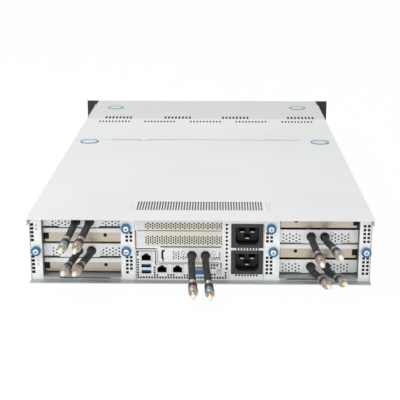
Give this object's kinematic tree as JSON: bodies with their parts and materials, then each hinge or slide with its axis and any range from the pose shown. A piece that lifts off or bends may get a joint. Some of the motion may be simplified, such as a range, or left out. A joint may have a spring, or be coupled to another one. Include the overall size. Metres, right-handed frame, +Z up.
{
  "type": "rack server",
  "caption": "Two-unit rack server with liquid-cooled accelerator cards, capped quick-release hoses at the rear, removable covers, fans, sliding drives and power modules.",
  "frame": {"origin": "under the middle of the server, on the plane that the tray's floor rests on; the hoses behind the case are left out", "axes": "+Y to the front with the rack ears and drives, -Y to the rear connectors, +Z up, +X to the right for someone at the rear"},
  "size_m": [0.4826, 0.9197, 0.0879],
  "materials": {
    "case_steel": "zinc plated sheet, satin",
    "cover_paint": "pale silver grey, satin",
    "front_cover_paint": "pale silver grey, satin",
    "ear_black": "black, satin",
    "screw_blue": "blue grip ring with a pale metal middle",
    "cage_sheet": "pale zinc plated sheet, satin",
    "blank_sheet": "cream passivated sheet, satin",
    "circuit_board": "green circuit board",
    "nickel": "warm nickelled metal, satin",
    "memory_green": "circuit boards in black sockets",
    "jack_shell": "pressed shell, black inside",
    "usb_shell": "pressed shell, blue tongues",
    "video_blue": "blue insert in a metal shell",
    "button_white": "pale button",
    "button_dark": "dark button",
    "inlet_black": "black housing, steel blades",
    "boot_rubber": "black, matt",
    "hose_braid": "dark grey braid over rubber",
    "coupling_steel": "stainless sleeve, coloured ring, brass stem, ivory cap",
    "tube_metal": "plated tube, satin",
    "plate_metal": "milled, satin",
    "fan_black": "black, matt",
    "drive_metal": "drive on its carrier, black bezel",
    "lever_black": "black, matt",
    "module_case": "sheet case with black fan and handle",
    "latch_plastic": "blue, matt"
  },
  "bodies": {
    "chassis": {"chassis_tray": "case_steel", "cage_thumbscrews": "screw_blue", "rack_ears": "ear_black", "left_card_cage": "cage_sheet", "right_card_cage": "cage_sheet", "card_brackets": "cage_sheet", "card_boards": "circuit_board", "card_cold_plates": "nickel", "riser_boards": "circuit_board", "rear_panel": "cage_sheet", "slot_blanks": "blank_sheet", "loop_bracket": "cage_sheet", "network_jacks": "jack_shell", "usb_sockets": "usb_shell", "video_socket": "video_blue", "power_inlets": "inlet_black", "hose_boots": "boot_rubber", "motherboard": "circuit_board", "processor_cold_plates": "plate_metal", "memory_modules": "memory_green", "coolant_tubes": "tube_metal", "fan_frames": "fan_black", "drive_cage": "case_steel", "drive_backplane": "circuit_board", "power_cage": "case_steel", "front_panel": "cage_sheet", "hose_a": "hose_braid", "hose_b": "hose_braid", "hose_c": "hose_braid", "hose_d": "hose_braid", "hose_e": "hose_braid", "hose_f": "hose_braid", "hose_g": "hose_braid", "hose_h": "hose_braid", "hose_i": "hose_braid", "hose_j": "hose_braid", "supply_couplings": "coupling_steel", "return_couplings": "coupling_steel"},
    "rear_lid": {"rear_cover": "cover_paint", "rear_cover_screws": "screw_blue"},
    "front_lid": {"front_cover": "front_cover_paint", "front_cover_screws": "screw_blue"},
    "power_key": {"power_button": "button_dark"},
    "locate_key": {"id_button": "button_white"},
    "power_module_lower": {"psu_lower": "module_case"},
    "power_module_upper": {"psu_upper": "module_case"},
    "lower_latch": {"psu_lower_latch": "latch_plastic"},
    "upper_latch": {"psu_upper_latch": "latch_plastic"},
    "fan_1": {"fan_rotor_1": "fan_black"},
    "drive_1": {"drive_tray_1": "drive_metal"},
    "lever_1": {"drive_lever_1": "lever_black"},
    "fan_2": {"fan_rotor_2": "fan_black"},
    "drive_2": {"drive_tray_2": "drive_metal"},
    "lever_2": {"drive_lever_2": "lever_black"},
    "fan_3": {"fan_rotor_3": "fan_black"},
    "drive_3": {"drive_tray_3": "drive_metal"},
    "lever_3": {"drive_lever_3": "lever_black"},
    "fan_4": {"fan_rotor_4": "fan_black"},
    "drive_4": {"drive_tray_4": "drive_metal"},
    "lever_4": {"drive_lever_4": "lever_black"}
  },
  "joints": [
    {"name": "rear_cover_lift", "type": "slide", "parent": "chassis", "child": "rear_lid", "axis": [0, 0, 1], "range_m": [0, 0.15]},
    {"name": "front_cover_lift", "type": "slide", "parent": "chassis", "child": "front_lid", "axis": [0, 0, 1], "range_m": [0, 0.15]},
    {"name": "power_button_press", "type": "slide", "parent": "chassis", "child": "power_key", "axis": [0, -1, 0], "range_m": [0, 0.0015], "stiffness_N_per_m": 500, "springref_m": -0.001},
    {"name": "id_button_press", "type": "slide", "parent": "chassis", "child": "locate_key", "axis": [0, 1, 0], "range_m": [0, 0.0012], "stiffness_N_per_m": 500, "springref_m": -0.001},
    {"name": "fan_1_spin", "type": "hinge", "parent": "chassis", "child": "fan_1", "pos_m": [-0.153, 0.148, 0.0412], "axis": [0, 1, 0], "continuous": true},
    {"name": "fan_2_spin", "type": "hinge", "parent": "chassis", "child": "fan_2", "pos_m": [-0.051, 0.148, 0.0412], "axis": [0, 1, 0], "continuous": true},
    {"name": "fan_3_spin", "type": "hinge", "parent": "chassis", "child": "fan_3", "pos_m": [0.051, 0.148, 0.0412], "axis": [0, 1, 0], "continuous": true},
    {"name": "fan_4_spin", "type": "hinge", "parent": "chassis", "child": "fan_4", "pos_m": [0.153, 0.148, 0.0412], "axis": [0, 1, 0], "continuous": true},
    {"name": "drive_1_slide", "type": "slide", "parent": "chassis", "child": "drive_1", "axis": [0, 1, 0], "range_m": [0, 0.16]},
    {"name": "drive_1_lever", "type": "hinge", "parent": "drive_1", "child": "lever_1", "pos_m": [-0.1474, 0.38, 0.0162], "axis": [0, 0, 1], "range_deg": [0, 65]},
    {"name": "drive_2_slide", "type": "slide", "parent": "chassis", "child": "drive_2", "axis": [0, 1, 0], "range_m": [0, 0.16]},
    {"name": "drive_2_lever", "type": "hinge", "parent": "drive_2", "child": "lever_2", "pos_m": [-0.042, 0.38, 0.0162], "axis": [0, 0, 1], "range_deg": [0, 65]},
    {"name": "drive_3_slide", "type": "slide", "parent": "chassis", "child": "drive_3", "axis": [0, 1, 0], "range_m": [0, 0.16]},
    {"name": "drive_3_lever", "type": "hinge", "parent": "drive_3", "child": "lever_3", "pos_m": [-0.1474, 0.38, 0.0446], "axis": [0, 0, 1], "range_deg": [0, 65]},
    {"name": "drive_4_slide", "type": "slide", "parent": "chassis", "child": "drive_4", "axis": [0, 1, 0], "range_m": [0, 0.16]},
    {"name": "drive_4_lever", "type": "hinge", "parent": "drive_4", "child": "lever_4", "pos_m": [-0.042, 0.38, 0.0446], "axis": [0, 0, 1], "range_deg": [0, 65]},
    {"name": "power_module_lower_slide", "type": "slide", "parent": "chassis", "child": "power_module_lower", "axis": [0, 1, 0], "range_m": [0, 0.19]},
    {"name": "lower_latch_press", "type": "hinge", "parent": "power_module_lower", "child": "lower_latch", "pos_m": [0.1301, 0.3776, 0.0222], "axis": [0, 0, 1], "range_deg": [0, 14], "stiffness_Nm_per_rad": 0.3, "springref_deg": -5.73},
    {"name": "power_module_upper_slide", "type": "slide", "parent": "chassis", "child": "power_module_upper", "axis": [0, 1, 0], "range_m": [0, 0.19]},
    {"name": "upper_latch_press", "type": "hinge", "parent": "power_module_upper", "child": "upper_latch", "pos_m": [0.1301, 0.3776, 0.063], "axis": [0, 0, 1], "range_deg": [0, 14], "stiffness_Nm_per_rad": 0.3, "springref_deg": -5.73}
  ]
}
